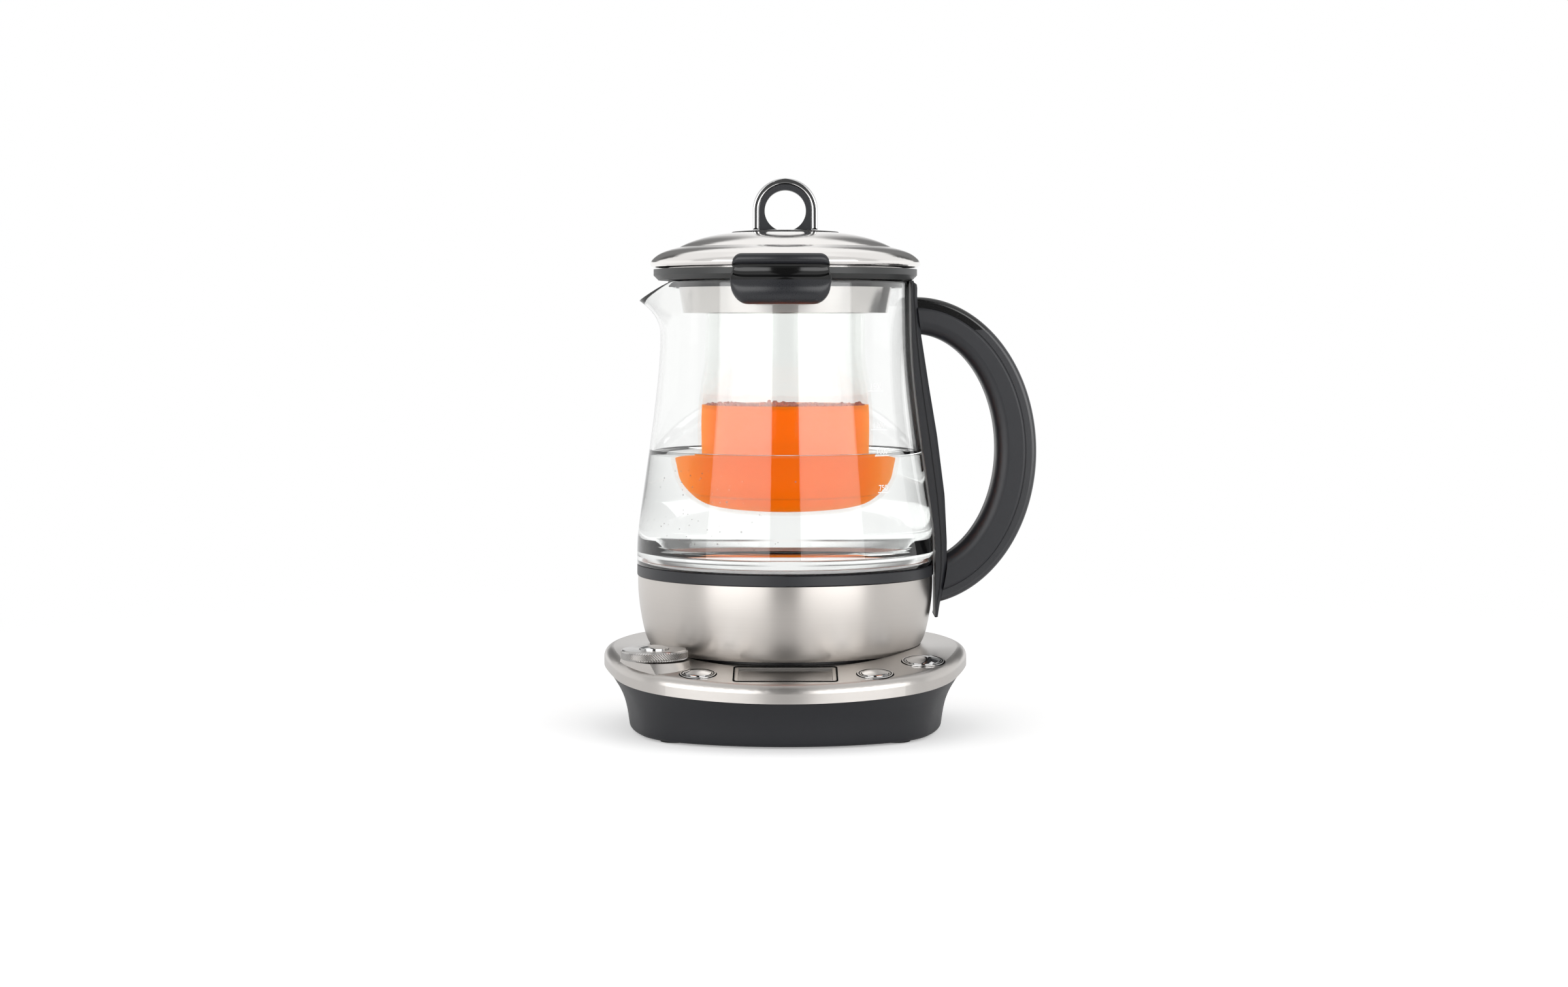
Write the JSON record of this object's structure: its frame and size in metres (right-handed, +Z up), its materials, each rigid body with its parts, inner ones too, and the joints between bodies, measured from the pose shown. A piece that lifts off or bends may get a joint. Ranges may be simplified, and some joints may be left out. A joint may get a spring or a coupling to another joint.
{
  "type": "automatic tea maker",
  "caption": "Electric tea maker: glass jug with a hanging glass insert, domed lid and loop handle on a powered base with a dial, buttons and display.",
  "frame": {"origin": "on the standing plane, below the middle of the whole appliance seen from above", "axes": "+Z up, -Y towards the control panel, +X towards the jug's handle"},
  "size_m": [0.233, 0.1994, 0.296],
  "materials": {
    "plate_steel": "brushed",
    "jug_steel": "brushed",
    "polished_steel": "polished",
    "bright_chrome": "polished",
    "charcoal_plastic": "satin",
    "gloss_black_plastic": "gloss",
    "grey_plastic": "satin",
    "clear_glass": "clear",
    "silicone": "matte",
    "rubber_feet": "matte",
    "contact_brass": "plain",
    "screw_steel": "plain",
    "board_green": "satin",
    "display_glass": "clear",
    "lcd_grey": "satin",
    "heater_aluminium": "cast"
  },
  "bodies": {
    "base": {"top_plate": "plate_steel", "base_housing": "charcoal_plastic", "bottom_cover": "charcoal_plastic", "feet": "rubber_feet", "base_screws": "screw_steel", "cord_inlet": "charcoal_plastic", "connector_socket": "charcoal_plastic", "connector_contacts": "contact_brass", "display_frame": "polished_steel", "display_window": "display_glass", "lcd_module": "lcd_grey", "lcd_holder": "grey_plastic", "control_board": "board_green", "board_screws": "screw_steel", "button_switches": "grey_plastic", "button_rings": "bright_chrome", "dial_encoder": "grey_plastic"},
    "hot_water_button": {"button_hot_water": "bright_chrome"},
    "tea_button": {"button_tea": "bright_chrome"},
    "start_button": {"button_start": "bright_chrome"},
    "dial": {"dial_knob": "polished_steel"},
    "dial_press": {"dial_button": "bright_chrome"},
    "coupler": {"jug_coupler": "grey_plastic"},
    "jug": {"steel_bowl": "jug_steel", "jug_base_cover": "charcoal_plastic", "seat_ring": "charcoal_plastic", "heating_plate": "polished_steel", "plate_seal": "silicone", "heating_element": "heater_aluminium", "temperature_sensor": "polished_steel", "glass_body": "clear_glass", "handle_strap": "charcoal_plastic", "handle_grip": "charcoal_plastic", "handle_cover": "gloss_black_plastic", "handle_screws": "screw_steel"},
    "insert": {"insert_rim": "charcoal_plastic", "insert_collar": "polished_steel", "insert_seal": "silicone", "insert_glass": "clear_glass", "front_grip": "charcoal_plastic", "back_grip": "charcoal_plastic"},
    "lid": {"lid_dome": "polished_steel", "lid_pad": "charcoal_plastic", "lid_liner": "charcoal_plastic", "lid_seal": "silicone", "knob_hoop": "bright_chrome", "knob_core": "charcoal_plastic", "lid_screws": "screw_steel"}
  },
  "joints": [
    {"name": "jug_lift", "type": "slide", "parent": "base", "child": "coupler", "axis": [0, 0, 1], "range_m": [0, 0.08]},
    {"name": "jug_turn", "type": "hinge", "parent": "coupler", "child": "jug", "pos_m": [-0.01905, 0.00775, 0.045], "axis": [0, 0, 1], "continuous": true},
    {"name": "insert_lift", "type": "slide", "parent": "jug", "child": "insert", "axis": [0, 0, 1], "range_m": [0, 0.16]},
    {"name": "lid_lift", "type": "slide", "parent": "insert", "child": "lid", "axis": [0, 0, 1], "range_m": [0, 0.06]},
    {"name": "dial_turn", "type": "hinge", "parent": "base", "child": "dial", "pos_m": [-0.08725, -0.05625, 0.0427], "axis": [0, 0, 1], "continuous": true},
    {"name": "dial_button_press", "type": "slide", "parent": "base", "child": "dial_press", "axis": [0, 0, -1], "range_m": [0, 0.0012], "stiffness_N_per_m": 300, "springref_m": -0.002},
    {"name": "hot_water_press", "type": "slide", "parent": "base", "child": "hot_water_button", "axis": [0, 0.1357, -0.9907], "range_m": [0, 0.0012], "stiffness_N_per_m": 300, "springref_m": -0.002},
    {"name": "tea_press", "type": "slide", "parent": "base", "child": "tea_button", "axis": [0, 0.1357, -0.9907], "range_m": [0, 0.0012], "stiffness_N_per_m": 300, "springref_m": -0.002},
    {"name": "start_press", "type": "slide", "parent": "base", "child": "start_button", "axis": [0, 0.1357, -0.9907], "range_m": [0, 0.0012], "stiffness_N_per_m": 300, "springref_m": -0.002}
  ]
}
